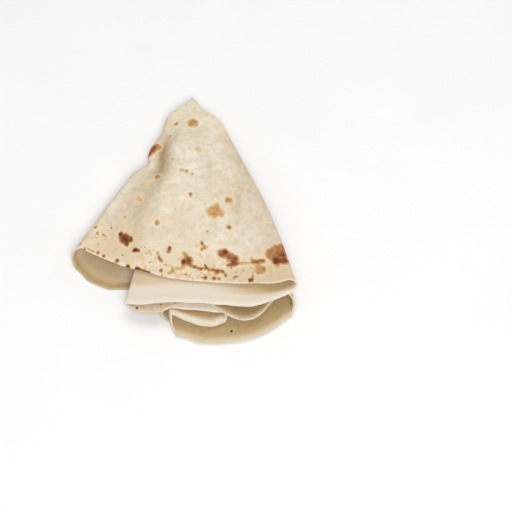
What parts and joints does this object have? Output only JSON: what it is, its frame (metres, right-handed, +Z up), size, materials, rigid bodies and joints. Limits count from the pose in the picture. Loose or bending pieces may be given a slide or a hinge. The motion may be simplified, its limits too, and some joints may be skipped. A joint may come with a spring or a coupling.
{
  "type": "rumali roti",
  "caption": "Thin soft flatbread folded like a handkerchief into a wedge, pinched at the tip and open in loose layered rims at the wide end, pale with toasted spots.",
  "frame": {"origin": "centre of the folded wedge's bounding box, at the surface it lies on", "axes": "+Y towards the pinched tip, -Y towards the open rims, +Z up from the surface it lies on"},
  "size_m": [0.1738, 0.2172, 0.0254],
  "materials": {
    "bread": "soft matt wheat bread, cream with toasted brown spots"
  },
  "bodies": {
    "root": {"roti": "bread"}
  },
  "joints": []
}
